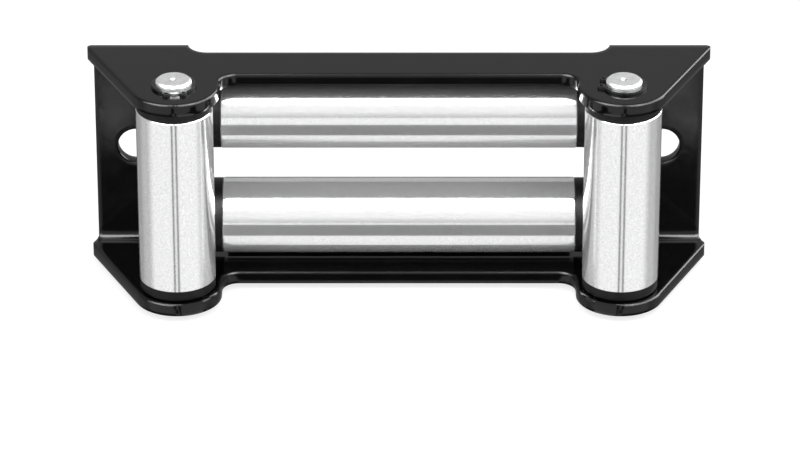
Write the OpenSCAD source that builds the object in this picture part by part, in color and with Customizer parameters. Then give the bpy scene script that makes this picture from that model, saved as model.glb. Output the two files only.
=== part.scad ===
// Four-way roller fairlead. X runs along the level rollers, +Y points back to the
// mounting face and +Z is up. The origin lies midway between the two mounting holes.

/* [Mounting] */
// Distance between the two mounting holes
bolt_spacing = 254; // [236:1:280]
// Diameter of each mounting hole
bolt_hole_d = 18; // [12:0.5:20]
// From a mounting hole's centre to the outer edge of the mounting face
bolt_edge = 19.5; // [14:0.5:26]

/* [Plate] */
// Thickness of the bent plate
plate_t = 6; // [4:0.5:7]
// Inner radius of the two long bends
bend_r = 3.5; // [2:0.5:6]
// How much the plate is drawn out round the bends, which makes their outer radius larger
bend_draw = 4; // [0:0.5:4.5]
// How far each flange corner stands out past the edge of the mounting face
side_flare = 2.5; // [1:0.25:4]
// How far in front of the plate's inner side the edge starts to stand out
flare_start = 0.8; // [0.5:0.1:1]
// Radius of the outer flange corners
corner_r = 4; // [2:0.5:5.5]
// From the mounting face to the centres of the outer flange corners
corner_d = 12.5; // [11:0.5:20]
// Radius of the ear that carries an upright pin
ear_r = 21; // [17:0.5:24]
// Radius in the corner between an ear and the middle of the flange
ear_fillet_r = 8; // [3:0.5:10]
// How far the middle of a flange reaches in front of the level rollers
flange_lip = 0.5; // [0:0.25:4]
// Radius of the window's corners, cut into the flanges
window_r = 9.5; // [5:0.5:12]
// From the end of a long bend to the window's edge in the flange
window_past_bend = 5.2; // [1:0.1:8]

/* [Side tabs] */
// Clear width between the two side tabs
tab_gap = 180; // [164:1:196]
// Inner radius of the bend at the root of a tab
tab_bend_r = 4.5; // [4:0.5:7]
// Gap cut between the root of a tab and the edge of the window
tab_relief = 0.4; // [0.2:0.1:1.5]
// Plate left between a level pin's hole and the upper or lower edge of the tab
tab_edge = 7; // [4:0.5:9]
// Radius of the tab's free corners
tab_corner_r = 6; // [2:0.5:8]
// Height between the root of a tab and the start of a long bend
tab_root_gap = 4; // [2:0.5:8]
// Room between a tab's front edge and the upright roller
tab_roller_gap = 1.2; // [0.8:0.1:3]

/* [Rollers] */
// Outer diameter of the roller tubes
roller_d = 36.5; // [34:0.5:40]
// Wall of the roller tubes
roller_wall = 4.75; // [3:0.25:6]
// Bevel on the ends of the tubes
roller_bevel = 0.6; // [0.2:0.1:1.5]
// Clear gap for the rope between the two level rollers
rope_gap = 20; // [12:1:30]
// Room between a level roller and the flange beside it
roller_flange_gap = 3.5; // [1.5:0.5:8]
// From the mounting face to the axes of the level rollers
level_axis_d = 24; // [21:0.5:28]
// From a tab's inner face out to the axis of the upright roller
upright_offset = 16; // [14:0.5:17]
// Room between the level rollers' front and the upright rollers' back, beside a tab
roller_cross_gap = 4.2; // [2:0.1:8]

/* [Bushings] */
// Thickness of a bushing's flange
bushing_flange_t = 4.75; // [3:0.25:7]
// How much smaller the flange's radius is than the tube's
bushing_inset = 0.2; // [0.1:0.1:1.5]
// Length of the spigot inside the tube
bushing_spigot_l = 18; // [10:1:30]
// Rounding of the flange's rim
bushing_round = 0.8; // [0.3:0.1:1.2]
// Bevel at the tip of the spigot
spigot_bevel = 0.8; // [0.3:0.1:1.5]

/* [Pins and clips] */
// Diameter of the pins
pin_d = 17; // [14:0.5:18]
// How far a pin stands out past the plate at each end
pin_end = 3.5; // [3:0.25:8]
// Bevel on the ends of the pins
pin_bevel = 0.9; // [0.3:0.1:1.2]
// Width of the centre mark in a pin's end
centre_mark_d = 3; // [1:0.5:5]
// Depth of the centre mark
centre_mark_depth = 1; // [0.5:0.25:2]
// Depth of the groove for a clip
groove_depth = 0.4; // [0.3:0.05:0.8]
// Thickness of a clip
clip_t = 1.2; // [0.8:0.1:1.5]
// Width of a clip's ring at the back, where it is widest
clip_ring_w = 2.8; // [2.2:0.1:3.2]
// How far the ring's outer edge is set back, so that it narrows towards the mouth
clip_shift = 0.35; // [0.1:0.05:0.5]
// Width of a clip's mouth
clip_mouth_w = 4.4; // [2:0.2:6]
// Width of the two lugs beside the mouth
clip_lug_w = 3.6; // [3:0.2:4.5]
// How far the lugs reach out from the groove
clip_lug_l = 3.9; // [3.4:0.1:4.6]
// Diameter of the hole in each lug
clip_eye_d = 1.7; // [1:0.1:2]

/* [Clearances] */
// Radial running clearance between a pin and its bushings
pin_run_clear = 0.08; // [0.02:0.01:0.1]
// Radial clearance of a pin in the plate
pin_hole_clear = 0.2; // [0.1:0.05:0.5]
// End clearance between a bushing's flange and the plate
end_clear = 0.25; // [0.1:0.05:0.6]
// Radial clearance of a spigot in its tube
spigot_clear = 0.05; // [0.02:0.01:0.1]
// End clearance between a clip and the plate
clip_clear = 0.15; // [0.1:0.05:0.4]
// Clearance between a clip and its groove
groove_clear = 0.05; // [0.02:0.01:0.1]

/* [Hidden] */
$fn = 96;

roller_r = roller_d / 2;
pin_r = pin_d / 2;
pin_hole_r = pin_r + pin_hole_clear;
groove_r = pin_r - groove_depth;
bend_outer_r = bend_r + plate_t + bend_draw;
// A little more than any cut needs
spare = 10;

// Overall sizes of the frame
face_half_w = bolt_spacing / 2 + bolt_edge;
frame_half_w = face_half_w + side_flare;
inner_h = rope_gap + 2 * (roller_d + roller_flange_gap);
frame_h = inner_h + 2 * plate_t;
tab_span = tab_gap + 2 * plate_t;

// Roller axes
level_z = rope_gap / 2 + roller_r;
upright_x = tab_gap / 2 + upright_offset;
upright_back = sqrt(max(0, pow(roller_r, 2) - pow(upright_offset, 2)));
upright_axis_d = level_axis_d + roller_r + roller_cross_gap + upright_back;

// Outline of the flanges: one straight edge touches the outer corner and the ear
flange_mid_d = level_axis_d + roller_r + flange_lip;
corner_at = [frame_half_w - corner_r, -corner_d];
ear_at = [upright_x, -upright_axis_d];
corner_to_ear = ear_at - corner_at;
edge_turn = acos((corner_r - ear_r) / norm(corner_to_ear));
edge_angle = atan2(corner_to_ear.y, corner_to_ear.x) + edge_turn;
edge_normal = [cos(edge_angle), sin(edge_angle)];
face_edge = [face_half_w, -plate_t - flare_start];
corner_to_face = face_edge - corner_at;
side_turn = acos(corner_r / norm(corner_to_face));
side_angle = atan2(corner_to_face.y, corner_to_face.x) - side_turn;
side_normal = [cos(side_angle), sin(side_angle)];

// Window and tabs
window_half_w = tab_gap / 2 + plate_t + tab_bend_r + tab_relief;
window_d = bend_outer_r + window_past_bend;
tab_half_h = level_z + pin_hole_r + tab_edge;
tab_root_half_h = frame_h / 2 - bend_outer_r - tab_root_gap;
tab_reach = sqrt(pow(roller_r + tab_roller_gap, 2) - pow(upright_offset - plate_t, 2));
tab_front_d = upright_axis_d - tab_reach;

// Rollers, bushings and pins
upright_tube_l = inner_h - 2 * (bushing_flange_t + end_clear);
level_tube_l = tab_gap - 2 * (bushing_flange_t + end_clear);
tube_bore_r = roller_r - roller_wall;
upright_pin_l = frame_h + 2 * pin_end;
level_pin_l = tab_span + 2 * pin_end;

// Which way each clip's mouth faces, turned about its pin
left_top_mouth = 5;
right_top_mouth = -100;
bottom_mouth = 40;
level_mouth = 90;

// Turns a shape drawn along Z so that it lies along X
module along_x() {
    rotate([0, 90, 0]) children();
}

// Draws its children again, mirrored in the middle plane
module both_sides() {
    children();
    mirror([1, 0, 0]) children();
}

// A rectangle from the mounting face forward, with its two back corners rounded
module back_rounded(half_h, back_d, reach, r) {
    translate([-reach, -half_h]) square([reach - back_d - r, 2 * half_h]);
    translate([-reach, -half_h + r]) square([reach - back_d, 2 * (half_h - r)]);
    for (side = [-1, 1])
        translate([-back_d - r, side * (half_h - r)]) circle(r);
}

// Section of the bent plate, the mounting face at the right
module plate_section() {
    reach = upright_axis_d + ear_r + spare;
    difference() {
        back_rounded(frame_h / 2, 0, reach, bend_outer_r);
        back_rounded(inner_h / 2, plate_t, reach + spare, bend_r);
    }
}

// Right half of a flange seen from above
module flange_half() {
    ear_inner_x = upright_x - ear_r;
    polygon([
        [0, 0],
        [face_half_w, 0],
        face_edge,
        corner_at + corner_r * side_normal,
        corner_at + corner_r * edge_normal,
        ear_at + ear_r * edge_normal,
        ear_at,
        [ear_inner_x, ear_at.y],
        [ear_inner_x, -flange_mid_d],
        [0, -flange_mid_d]
    ]);
    translate(corner_at) circle(corner_r);
    translate(ear_at) circle(ear_r);
    translate([ear_inner_x - ear_fillet_r, -flange_mid_d - ear_fillet_r])
        difference() {
            square(ear_fillet_r);
            circle(ear_fillet_r);
        }
}

// Opening through the mounting face, both bends and the back of the flanges
module window_plan() {
    straight_w = window_half_w - window_r;
    translate([-straight_w, -window_d]) square([2 * straight_w, window_d + spare]);
    translate([-window_half_w, -window_d + window_r])
        square([2 * window_half_w, window_d - window_r + spare]);
    both_sides()
        translate([straight_w, -window_d + window_r]) circle(window_r);
}

// Right tab seen from above: it leaves the mounting face and turns forward
module tab_plan() {
    bend_x = tab_gap / 2 + plate_t + tab_bend_r;
    bend_y = -plate_t - tab_bend_r;
    translate([bend_x, -plate_t]) square([2 * tab_relief, plate_t]);
    translate([tab_gap / 2, -tab_front_d]) square([plate_t, tab_front_d + bend_y]);
    translate([bend_x, bend_y])
        intersection() {
            difference() {
                circle(tab_bend_r + plate_t);
                circle(tab_bend_r);
            }
            translate([-tab_bend_r - plate_t, 0]) square(tab_bend_r + plate_t);
        }
}

// Side view of a tab: a narrow root and a taller plate with round corners
module tab_side() {
    root_d = plate_t + tab_bend_r;
    plate_back = root_d + tab_corner_r;
    translate([-plate_back, -tab_root_half_h])
        square([plate_back, 2 * tab_root_half_h]);
    translate([-tab_front_d, -tab_half_h + tab_corner_r])
        square([tab_front_d - root_d, 2 * (tab_half_h - tab_corner_r)]);
    translate([-tab_front_d + tab_corner_r, -tab_half_h])
        square([tab_front_d - plate_back - tab_corner_r, 2 * tab_half_h]);
    for (side = [-1, 1], y = [-tab_front_d + tab_corner_r, -plate_back])
        translate([y, side * (tab_half_h - tab_corner_r)]) circle(tab_corner_r);
}

module tab() {
    intersection() {
        linear_extrude(height = frame_h, center = true) tab_plan();
        rotate([90, 0, 90]) linear_extrude(height = frame_half_w) tab_side();
    }
}

module bent_plate() {
    intersection() {
        rotate([90, 0, 90])
            linear_extrude(height = 2 * frame_half_w, center = true) plate_section();
        linear_extrude(height = frame_h, center = true) both_sides() flange_half();
    }
}

module frame_holes() {
    both_sides() {
        translate([bolt_spacing / 2, spare, 0])
            rotate([90, 0, 0]) cylinder(d = bolt_hole_d, h = plate_t + 2 * spare);
        translate([upright_x, -upright_axis_d, 0])
            cylinder(r = pin_hole_r, h = frame_h + 2 * spare, center = true);
        for (side = [-1, 1])
            translate([tab_gap / 2 + plate_t / 2, -level_axis_d, side * level_z])
                along_x() cylinder(r = pin_hole_r, h = 2 * plate_t, center = true);
    }
}

module frame() {
    color("#191a1c")
        difference() {
            union() {
                difference() {
                    bent_plate();
                    linear_extrude(height = frame_h + spare, center = true) window_plan();
                }
                both_sides() tab();
            }
            frame_holes();
        }
}

// A plain tube with bevelled rims, centred on its middle
module tube(l) {
    color("#c9cccf")
        rotate_extrude()
            polygon([
                [tube_bore_r, -l / 2],
                [roller_r - roller_bevel, -l / 2],
                [roller_r, -l / 2 + roller_bevel],
                [roller_r, l / 2 - roller_bevel],
                [roller_r - roller_bevel, l / 2],
                [tube_bore_r, l / 2]
            ]);
}

// A flanged bushing in the upper end of a tube of length l
module bushing(l) {
    rim_r = roller_r - bushing_inset;
    spigot_r = tube_bore_r - spigot_clear;
    bore_r = pin_r + pin_run_clear;
    color("#2c2d30")
        translate([0, 0, l / 2])
            rotate_extrude() {
                difference() {
                    union() {
                        square([rim_r, bushing_flange_t - bushing_round]);
                        square([rim_r - bushing_round, bushing_flange_t]);
                        translate([rim_r - bushing_round, bushing_flange_t - bushing_round])
                            circle(bushing_round);
                    }
                    translate([0, -spare]) square([bore_r, bushing_flange_t + 2 * spare]);
                }
                polygon([
                    [bore_r, -bushing_spigot_l],
                    [spigot_r - spigot_bevel, -bushing_spigot_l],
                    [spigot_r, -bushing_spigot_l + spigot_bevel],
                    [spigot_r, 0],
                    [bore_r, 0]
                ]);
            }
}

// Half of a pin's outline from its middle to its upper end
function pin_outline(l, side) = [
    for (p = [
        [pin_r, l / 2 - pin_end + clip_clear - groove_clear],
        [groove_r, l / 2 - pin_end + clip_clear - groove_clear],
        [groove_r, l / 2 - pin_end + clip_clear + clip_t + groove_clear],
        [pin_r, l / 2 - pin_end + clip_clear + clip_t + groove_clear],
        [pin_r, l / 2 - pin_bevel],
        [pin_r - pin_bevel, l / 2],
        [centre_mark_d / 2, l / 2],
        [0, l / 2 - centre_mark_depth]
    ]) [p.x, side * p.y]
];

// A round pin with a groove near each end and a centre mark in each end
module pin(l) {
    lower = pin_outline(l, -1);
    lower_up = [for (i = [len(lower) - 1 : -1 : 0]) lower[i]];
    color("#d9dbdd")
        rotate_extrude() polygon(concat(lower_up, pin_outline(l, 1)));
}

// A ring clip at the upper end of a pin of length l, with its mouth to the front
module clip(l, mouth) {
    seat_r = groove_r + groove_clear;
    eye_at = [(clip_mouth_w + clip_lug_w) / 2, clip_lug_w / 2 - seat_r - clip_lug_l];
    color("#232427")
        translate([0, 0, l / 2 - pin_end + clip_clear])
            rotate([0, 0, mouth])
                linear_extrude(height = clip_t)
                    difference() {
                        union() {
                            translate([0, clip_shift]) circle(seat_r + clip_ring_w - clip_shift);
                            both_sides() {
                                translate(eye_at) circle(d = clip_lug_w);
                                translate([clip_mouth_w / 2, eye_at.y]) square(clip_lug_w);
                            }
                        }
                        circle(seat_r);
                        both_sides() translate(eye_at) circle(d = clip_eye_d);
                        translate([-clip_mouth_w / 2, -pin_d])
                            square([clip_mouth_w, pin_d]);
                    }
}

// Places a piece on the left (-1) or right (1) upright axis, top or bottom up
module on_upright(side, end) {
    translate([side * upright_x, -upright_axis_d, 0])
        rotate([end > 0 ? 0 : 180, 0, 0]) children();
}

// Places a piece on the upper (1) or lower (-1) level axis, facing left (-1) or right (1)
module on_level(level, end) {
    translate([0, -level_axis_d, level * level_z])
        rotate([0, 90 * end, 0]) children();
}

module left_roller() { on_upright(-1, 1) tube(upright_tube_l); }
module right_roller() { on_upright(1, 1) tube(upright_tube_l); }
module upper_roller() { on_level(1, 1) tube(level_tube_l); }
module lower_roller() { on_level(-1, 1) tube(level_tube_l); }

module left_roller_top_bushing() { on_upright(-1, 1) bushing(upright_tube_l); }
module left_roller_bottom_bushing() { on_upright(-1, -1) bushing(upright_tube_l); }
module right_roller_top_bushing() { on_upright(1, 1) bushing(upright_tube_l); }
module right_roller_bottom_bushing() { on_upright(1, -1) bushing(upright_tube_l); }
module upper_roller_left_bushing() { on_level(1, -1) bushing(level_tube_l); }
module upper_roller_right_bushing() { on_level(1, 1) bushing(level_tube_l); }
module lower_roller_left_bushing() { on_level(-1, -1) bushing(level_tube_l); }
module lower_roller_right_bushing() { on_level(-1, 1) bushing(level_tube_l); }

module left_pin() { on_upright(-1, 1) pin(upright_pin_l); }
module right_pin() { on_upright(1, 1) pin(upright_pin_l); }
module upper_pin() { on_level(1, 1) pin(level_pin_l); }
module lower_pin() { on_level(-1, 1) pin(level_pin_l); }

module left_pin_top_clip() { on_upright(-1, 1) clip(upright_pin_l, left_top_mouth); }
module left_pin_bottom_clip() { on_upright(-1, -1) clip(upright_pin_l, bottom_mouth); }
module right_pin_top_clip() { on_upright(1, 1) clip(upright_pin_l, right_top_mouth); }
module right_pin_bottom_clip() { on_upright(1, -1) clip(upright_pin_l, bottom_mouth); }
module upper_pin_left_clip() { on_level(1, -1) clip(level_pin_l, level_mouth); }
module upper_pin_right_clip() { on_level(1, 1) clip(level_pin_l, -level_mouth); }
module lower_pin_left_clip() { on_level(-1, -1) clip(level_pin_l, -level_mouth); }
module lower_pin_right_clip() { on_level(-1, 1) clip(level_pin_l, level_mouth); }

frame();
left_roller();
right_roller();
upper_roller();
lower_roller();
left_roller_top_bushing();
left_roller_bottom_bushing();
right_roller_top_bushing();
right_roller_bottom_bushing();
upper_roller_left_bushing();
upper_roller_right_bushing();
lower_roller_left_bushing();
lower_roller_right_bushing();
left_pin();
right_pin();
upper_pin();
lower_pin();
left_pin_top_clip();
left_pin_bottom_clip();
right_pin_top_clip();
right_pin_bottom_clip();
upper_pin_left_clip();
upper_pin_right_clip();
lower_pin_left_clip();
lower_pin_right_clip();
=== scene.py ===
import math

import bpy
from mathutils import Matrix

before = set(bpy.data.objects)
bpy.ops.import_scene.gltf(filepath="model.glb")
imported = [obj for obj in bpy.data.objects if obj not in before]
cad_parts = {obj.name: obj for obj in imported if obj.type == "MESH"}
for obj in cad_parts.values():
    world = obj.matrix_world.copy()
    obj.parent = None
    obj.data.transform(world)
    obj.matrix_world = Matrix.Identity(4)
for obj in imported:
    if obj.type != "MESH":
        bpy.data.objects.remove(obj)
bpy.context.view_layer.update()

MM = 0.001
WHITE = (1.0, 1.0, 1.0, 1.0)
FACING_FRONT = (math.pi / 2.0, 0.0, 0.0)

NOISE_LOW, NOISE_HIGH = 0.3, 0.7

FLOOR_Z = -59.6 * MM
FLOOR_SIZE = 8.0
FLOOR_GLOW = 0.78
FILL_LIGHT = 0.45
BACKDROP_WHITE = 1.0
CANOPY_BOW = 0.0024
WING_FLARE = math.radians(2.05)
BAND_TILT = math.radians(-29.1)

CAMERA_PITCH = math.radians(27.4878)
CAMERA_PLACE = (0.00053, -2.23537, 1.11655)
CAMERA_LENS = 231.706
SENSOR_WIDTH = 36.0


def new_tree(owner):
    """Clears the node tree of a material or world and returns it."""
    owner.use_nodes = True
    owner.node_tree.nodes.clear()
    return owner.node_tree


def add(tree, kind, inputs=None, **settings):
    """Adds a node. An input is given a constant, or is linked when its value is a socket."""
    node = tree.nodes.new(kind)
    for key, value in settings.items():
        setattr(node, key, value)
    for key, value in (inputs or {}).items():
        if isinstance(value, bpy.types.NodeSocket):
            tree.links.new(value, node.inputs[key])
        else:
            node.inputs[key].default_value = value
    return node


def object_place(tree):
    return add(tree, "ShaderNodeTexCoord").outputs["Object"]


def part_of(tree, vector, axis):
    return add(tree, "ShaderNodeSeparateXYZ", {0: vector}).outputs[axis]


def math_node(tree, operation, first, second=None):
    inputs = {0: first} if second is None else {0: first, 1: second}
    return add(tree, "ShaderNodeMath", inputs, operation=operation).outputs["Value"]


def times(tree, first, second):
    return math_node(tree, "MULTIPLY", first, second)


def noise(tree, place, scale, detail=2.0):
    """Procedural noise between 0 and 1, scale in cycles per metre."""
    node = add(tree, "ShaderNodeTexNoise", {"Vector": place, "Scale": scale, "Detail": detail})
    return node.outputs["Fac"]


def spread(tree, value, low, high):
    """Stretches the middle of a noise over a range of values."""
    node = add(tree, "ShaderNodeMapRange", {"Value": value, "From Min": NOISE_LOW,
                                            "From Max": NOISE_HIGH, "To Min": low, "To Max": high})
    return node.outputs["Result"]


def step(tree, value, start, end, low=0.0, high=1.0):
    """Goes smoothly from low to high while a value goes from start to end."""
    node = add(tree, "ShaderNodeMapRange", {"Value": value, "From Min": start, "From Max": end,
                                            "To Min": low, "To Max": high},
               interpolation_type="SMOOTHSTEP")
    return node.outputs["Result"]


def window(tree, value, low, high, soft):
    """One inside a range and zero outside it, with soft sides."""
    rise = step(tree, value, low - soft, low)
    fall = step(tree, value, high, high + soft, 1.0, 0.0)
    return times(tree, rise, fall)


def blend_colours(tree, value, dark, light):
    """A colour between two, by a noise."""
    ramp = add(tree, "ShaderNodeValToRGB", {"Fac": value})
    ramp.color_ramp.elements[0].position = NOISE_LOW
    ramp.color_ramp.elements[0].color = (*dark, 1.0)
    ramp.color_ramp.elements[1].position = NOISE_HIGH
    ramp.color_ramp.elements[1].color = (*light, 1.0)
    return ramp.outputs["Color"]


def bump(tree, height, depth, strength, under=None):
    """Surface relief of a depth in metres, laid over another relief when one is given."""
    inputs = {"Height": height, "Distance": depth, "Strength": strength}
    if under is not None:
        inputs["Normal"] = under
    return add(tree, "ShaderNodeBump", inputs).outputs["Normal"]


def surface(name, inputs_from):
    """A Principled material whose inputs come from a function of the tree and object coordinates."""
    material = bpy.data.materials.new(name)
    tree = new_tree(material)
    shader = add(tree, "ShaderNodeBsdfPrincipled", inputs_from(tree, object_place(tree)))
    add(tree, "ShaderNodeOutputMaterial", {"Surface": shader.outputs["BSDF"]})
    return material


def black_paint(tree, place):
    """Glossy powder coat with rounded edges and a slight orange peel."""
    shades = noise(tree, place, 60.0)
    peel = noise(tree, place, 180.0, 1.0)
    rounded = add(tree, "ShaderNodeBevel", {"Radius": 2.7 * MM}, samples=8).outputs["Normal"]
    return {
        "Base Color": blend_colours(tree, shades, (0.0014, 0.0014, 0.0015), (0.0028, 0.0028, 0.0030)),
        "Roughness": spread(tree, noise(tree, place, 90.0), 0.05, 0.09),
        "IOR": 1.5,
        "Specular IOR Level": 0.35,
        "Normal": bump(tree, peel, 0.05 * MM, 0.25, rounded),
    }


def roller_steel(tree, place):
    """Satin plated steel with a fine grain."""
    flecks = noise(tree, place, 1500.0, 4.0)
    grain = noise(tree, place, 2200.0, 3.0)
    return {
        "Base Color": blend_colours(tree, flecks, (0.75, 0.75, 0.755), (0.95, 0.95, 0.955)),
        "Metallic": 0.75,
        "Roughness": spread(tree, grain, 0.09, 0.16),
        "Normal": bump(tree, grain, 0.02 * MM, 0.07),
    }


def bushing_plastic(tree, place):
    """Dark nylon with a fine grain."""
    shades = noise(tree, place, 300.0)
    grain = noise(tree, place, 1500.0, 2.0)
    return {
        "Base Color": blend_colours(tree, shades, (0.005, 0.005, 0.0053), (0.009, 0.009, 0.0093)),
        "Roughness": spread(tree, grain, 0.36, 0.46),
        "Specular IOR Level": 0.18,
        "Normal": bump(tree, grain, 0.03 * MM, 0.3),
    }


def pin_plating(across):
    """Zinc plating with a darker grey colour inside the centre marks, for a pin with two axes across it."""
    def inputs(tree, place):
        grain = noise(tree, place, 1400.0, 3.0)
        patches = noise(tree, place, 350.0, 2.0)
        zinc = blend_colours(tree, patches, (0.74, 0.745, 0.75), (0.88, 0.88, 0.885))
        box = add(tree, "ShaderNodeTexCoord").outputs["Generated"]
        offsets = [math_node(tree, "SUBTRACT", part_of(tree, box, axis), 0.5) for axis in across]
        squares = [times(tree, offset, offset) for offset in offsets]
        from_axis = math_node(tree, "SQRT", math_node(tree, "ADD", squares[0], squares[1]))
        colour = add(tree, "ShaderNodeMixRGB", {"Fac": step(tree, from_axis, 0.07, 0.10),
                                                "Color1": (0.45, 0.45, 0.45, 1.0), "Color2": zinc})
        return {
            "Base Color": colour.outputs["Color"],
            "Metallic": 0.78,
            "Roughness": spread(tree, grain, 0.30, 0.45),
            "Normal": bump(tree, patches, 0.05 * MM, 0.3, bump(tree, grain, 0.02 * MM, 0.3)),
        }
    return inputs


def clip_steel(tree, place):
    """Black oxide on spring steel."""
    shades = noise(tree, place, 500.0)
    grain = noise(tree, place, 1200.0, 2.0)
    return {
        "Base Color": blend_colours(tree, shades, (0.014, 0.014, 0.015), (0.024, 0.024, 0.025)),
        "Roughness": spread(tree, grain, 0.22, 0.34),
        "Specular IOR Level": 0.25,
        "Normal": bump(tree, grain, 0.02 * MM, 0.3),
    }


paint = surface("black_paint", black_paint)
steel = surface("roller_steel", roller_steel)
plastic = surface("bushing_plastic", bushing_plastic)
upright_plating = surface("upright_pin_plating", pin_plating(("X", "Y")))
level_plating = surface("level_pin_plating", pin_plating(("Y", "Z")))
oxide = surface("clip_steel", clip_steel)


def material_for(name):
    if name == "frame":
        return paint
    if name.endswith("bushing"):
        return plastic
    if name.endswith("clip"):
        return oxide
    if name in ("left_pin", "right_pin"):
        return upright_plating
    if name in ("upper_pin", "lower_pin"):
        return level_plating
    return steel


for name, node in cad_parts.items():
    node.data.materials.clear()
    node.data.materials.append(material_for(name))


def plane(name, size, material):
    """A square of the stage, level and about its own origin."""
    mesh = bpy.data.meshes.new(name)
    half = size / 2.0
    corners = [(-half, -half, 0.0), (half, -half, 0.0), (half, half, 0.0), (-half, half, 0.0)]
    mesh.from_pydata(corners, [], [(0, 1, 2, 3)])
    mesh.materials.append(material)
    made = bpy.data.objects.new(name, mesh)
    bpy.context.scene.collection.objects.link(made)
    return made


def lay_floor():
    """A pale paper floor that keeps the soft shadow under the object."""
    paper = bpy.data.materials.new("floor_paper")
    tree = new_tree(paper)
    fibres = noise(tree, object_place(tree), 4.0)
    colour = blend_colours(tree, fibres, (0.40, 0.40, 0.40), (0.42, 0.42, 0.42))
    matt = add(tree, "ShaderNodeBsdfDiffuse", {"Color": colour})
    glow = add(tree, "ShaderNodeEmission", {"Color": WHITE, "Strength": FLOOR_GLOW})
    both = add(tree, "ShaderNodeAddShader", {0: matt.outputs["BSDF"], 1: glow.outputs["Emission"]})
    add(tree, "ShaderNodeOutputMaterial", {"Surface": both.outputs["Shader"]})
    floor = plane("floor", FLOOR_SIZE, paper)
    floor.location = (0.0, 0.0, FLOOR_Z)
    floor.visible_glossy = False


def reflected_studio(tree):
    """What glossy surfaces see, by the bearing from the front and the height in degrees."""
    way = add(tree, "ShaderNodeSeparateXYZ", {0: add(tree, "ShaderNodeTexCoord").outputs["Generated"]})
    ahead = times(tree, way.outputs["Y"], -1.0)
    turn = math_node(tree, "DEGREES", math_node(tree, "ARCTAN2", way.outputs["X"], ahead))
    bearing = math_node(tree, "ABSOLUTE", turn)
    height = math_node(tree, "DEGREES", math_node(tree, "ARCSINE", way.outputs["Z"]))

    to_back = step(tree, bearing, 105.0, 130.0)
    low_back = times(tree, to_back, step(tree, height, 4.0, -8.0))
    under_back = times(tree, to_back, step(tree, height, -38.0, -48.0))
    gap = times(tree, window(tree, bearing, -1.0, 5.2, 0.6), window(tree, height, -34.0, -22.0, 2.0))
    low_front = times(tree, step(tree, bearing, 6.0, 10.0), step(tree, height, -36.0, -46.0))
    dip = times(tree, step(tree, height, -1.0, 2.0), step(tree, height, 3.0, 22.0, 1.0, 0.0))
    camera_dip = times(tree, window(tree, bearing, -1.0, 3.0, 2.0), dip)
    shade = times(tree, under_back, 0.95)
    for dark, share in ((gap, 0.92), (low_front, 0.90), (camera_dip, 0.50), (low_back, 0.45)):
        shade = math_node(tree, "MAXIMUM", shade, times(tree, dark, share))
    panels = step(tree, bearing, 66.0, 92.0, 1.0, 0.45)
    panels = times(tree, panels, math_node(tree, "SUBTRACT", 1.0, shade))

    bow = times(tree, times(tree, bearing, bearing), CANOPY_BOW)
    arched = math_node(tree, "ADD", height, bow)
    roof = times(tree, window(tree, arched, 47.0, 79.0, 4.0), step(tree, bearing, 3.2, 5.0))
    skirt = times(tree, window(tree, arched, 30.0, 47.0, 4.0), step(tree, bearing, 12.0, 18.0))
    skirt = times(tree, skirt, step(tree, turn, 112.0, 118.0, 1.0, 0.0))
    canopy = math_node(tree, "MAXIMUM", roof, skirt)
    canopy = times(tree, canopy, window(tree, turn, -78.0, 138.0, 6.0))
    canopy = times(tree, canopy, step(tree, bearing, 55.0, 80.0, 14.0, 9.0))
    return math_node(tree, "ADD", panels, canopy)


def build_world():
    """White behind the object, the studio in its reflections and an even fill on it."""
    studio = bpy.data.worlds.new("studio")
    bpy.context.scene.world = studio
    tree = new_tree(studio)
    fill = add(tree, "ShaderNodeBackground", {"Color": WHITE, "Strength": FILL_LIGHT})
    around = add(tree, "ShaderNodeBackground", {"Color": WHITE, "Strength": reflected_studio(tree)})
    backdrop = add(tree, "ShaderNodeBackground", {"Color": WHITE, "Strength": BACKDROP_WHITE})
    rays = add(tree, "ShaderNodeLightPath")
    mirrored = math_node(tree, "MAXIMUM", rays.outputs["Is Glossy Ray"], rays.outputs["Is Transmission Ray"])
    lit = add(tree, "ShaderNodeMixShader", {"Fac": mirrored, 1: fill.outputs["Background"],
                                            2: around.outputs["Background"]})
    seen = add(tree, "ShaderNodeMixShader", {"Fac": rays.outputs["Is Camera Ray"], 1: lit.outputs["Shader"],
                                             2: backdrop.outputs["Background"]})
    add(tree, "ShaderNodeOutputWorld", {"Surface": seen.outputs["Shader"]})


def softbox(name, bearing_deg, height_deg, width, tall, radiance, distance=1.2):
    """A lamp aimed at the object, placed by its bearing from the front and its height."""
    data = bpy.data.lights.new(name, "AREA")
    data.shape = "RECTANGLE"
    data.size = width
    data.size_y = tall
    data.energy = radiance * math.pi * width * tall
    lamp = bpy.data.objects.new(name, data)
    turn, lift = math.radians(bearing_deg), math.radians(height_deg)
    lamp.location = (distance * math.cos(lift) * math.sin(turn),
                     -distance * math.cos(lift) * math.cos(turn),
                     distance * math.sin(lift))
    lamp.rotation_euler = (math.pi / 2.0 - lift, 0.0, turn)
    bpy.context.scene.collection.objects.link(lamp)


def plain_glow(name, low, high):
    """A card that glows evenly, with a slight mottle."""
    material = bpy.data.materials.new(name)
    tree = new_tree(material)
    strength = spread(tree, noise(tree, object_place(tree), 20.0), low, high)
    glow = add(tree, "ShaderNodeEmission", {"Color": WHITE, "Strength": strength})
    add(tree, "ShaderNodeOutputMaterial", {"Surface": glow.outputs["Emission"]})
    return material


def wing_glow():
    """A white wing that is a little darker at the end beside the upright roller."""
    material = bpy.data.materials.new("wing_white")
    tree = new_tree(material)
    strength = step(tree, part_of(tree, object_place(tree), "Y"), 68.5 * MM, 71.0 * MM, 1.0, 0.70)
    glow = add(tree, "ShaderNodeEmission", {"Color": WHITE, "Strength": strength})
    add(tree, "ShaderNodeOutputMaterial", {"Surface": glow.outputs["Emission"]})
    return material


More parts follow.
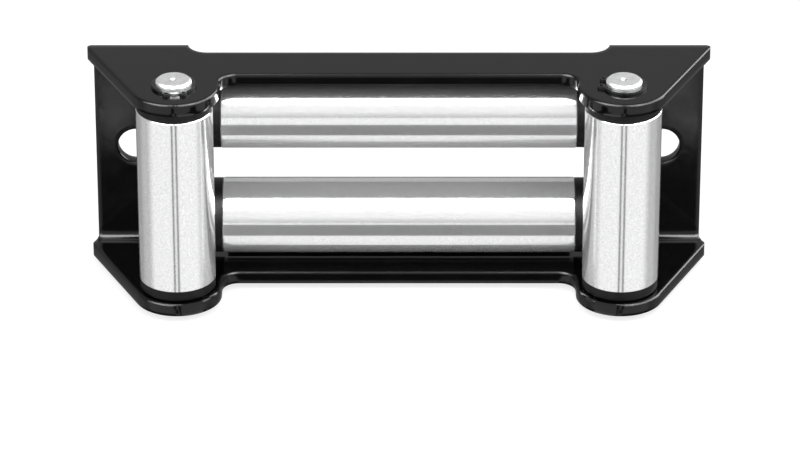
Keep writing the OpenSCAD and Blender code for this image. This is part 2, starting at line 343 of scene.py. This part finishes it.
def striped_glow():
    """A light line between two dark ones."""
    material = bpy.data.materials.new("striped_card")
    tree = new_tree(material)
    from_middle = math_node(tree, "ABSOLUTE", part_of(tree, object_place(tree), "X"))
    strength = step(tree, from_middle, 17.0 * MM, 19.0 * MM, 0.95, 0.05)
    glow = add(tree, "ShaderNodeEmission", {"Color": WHITE, "Strength": strength})
    add(tree, "ShaderNodeOutputMaterial", {"Surface": glow.outputs["Emission"]})
    return material


def black_cloth():
    """Dull cloth for the flags."""
    material = bpy.data.materials.new("flag_black")
    tree = new_tree(material)
    weave = noise(tree, object_place(tree), 400.0)
    colour = blend_colours(tree, weave, (0.002, 0.002, 0.002), (0.004, 0.004, 0.004))
    cloth = add(tree, "ShaderNodeBsdfDiffuse", {"Color": colour})
    add(tree, "ShaderNodeOutputMaterial", {"Surface": cloth.outputs["BSDF"]})
    return material


def reflector(name, material, size, scale, location, rotation=FACING_FRONT):
    """A card that shows in reflections only."""
    card = plane(name, size, material)
    card.scale = scale
    card.location = location
    card.rotation_euler = rotation
    card.visible_camera = False
    card.visible_diffuse = False
    card.visible_shadow = False


def set_cards():
    """Cards for the lines and bands that the steel and the back plates mirror in the photograph."""
    white = plain_glow("card_white", low=1.7, high=1.8)
    stripes = striped_glow()
    wing = wing_glow()
    for word, side in (("left", -1.0), ("right", 1.0)):
        # The soft light on the back plate, outside the upright roller.
        reflector(word + "_card", white, size=0.0691, scale=(0.42, 1.0, 1.0),
                  location=(side * 0.1969, -1.0, -0.4598))
        # The white that keeps the band card out of the upright roller.
        reflector(word + "_wing", wing, size=0.18, scale=(0.97, 1.0, 1.0),
                  location=(side * 0.0960, -0.140, -0.0425),
                  rotation=(0.0, math.pi / 2.0, side * WING_FLARE))
        # The double line along the middle of the upright roller.
        reflector(word + "_stripes", stripes, size=0.104, scale=(0.166, 1.0, 1.0),
                  location=(side * 0.106, -0.118, -0.023))
    # The dark bands along the level rollers.
    reflector("band_card", plain_glow("band_card", low=0.03, high=0.05), size=0.111,
              scale=(1.80, 1.0, 1.0), location=(0.0, -0.1595, -0.064), rotation=(BAND_TILT, 0.0, 0.0))
    # The grey edges where the level rollers face each other.
    reflector("between_card", plain_glow("between_card", low=0.15, high=0.20), size=0.030,
              scale=(5.70, 1.0, 1.0), location=(0.0, -0.0235, 0.0), rotation=(0.0, 0.0, 0.0))
    # The dark behind the window.
    cloth = black_cloth()
    reflector("upper_flag", cloth, size=0.17, scale=(1.0, 0.075, 1.0), location=(0.0, 0.030, -0.022))
    reflector("lower_flag", cloth, size=0.17, scale=(1.0, 0.14, 1.0), location=(0.0, 0.030, -0.062))


def place_camera():
    """The camera that was fitted to the photograph."""
    data = bpy.data.cameras.new("camera")
    data.lens = CAMERA_LENS
    data.sensor_width = SENSOR_WIDTH
    camera = bpy.data.objects.new("camera", data)
    camera.location = CAMERA_PLACE
    camera.rotation_euler = (math.pi / 2.0 - CAMERA_PITCH, 0.0, 0.0)
    bpy.context.scene.collection.objects.link(camera)
    bpy.context.scene.camera = camera


lay_floor()
build_world()
softbox("left_softbox", bearing_deg=-45.0, height_deg=42.0, width=0.35, tall=0.60,
        radiance=4.0)
softbox("right_softbox", bearing_deg=45.0, height_deg=42.0, width=0.35, tall=0.60,
        radiance=6.0)
softbox("top_strip", bearing_deg=0.0, height_deg=51.0, width=0.90, tall=0.12,
        radiance=5.0)
softbox("back_lamp", bearing_deg=125.0, height_deg=45.0, width=0.35, tall=0.35,
        radiance=4.0)
set_cards()
place_camera()
bpy.context.scene.view_settings.view_transform = "Standard"
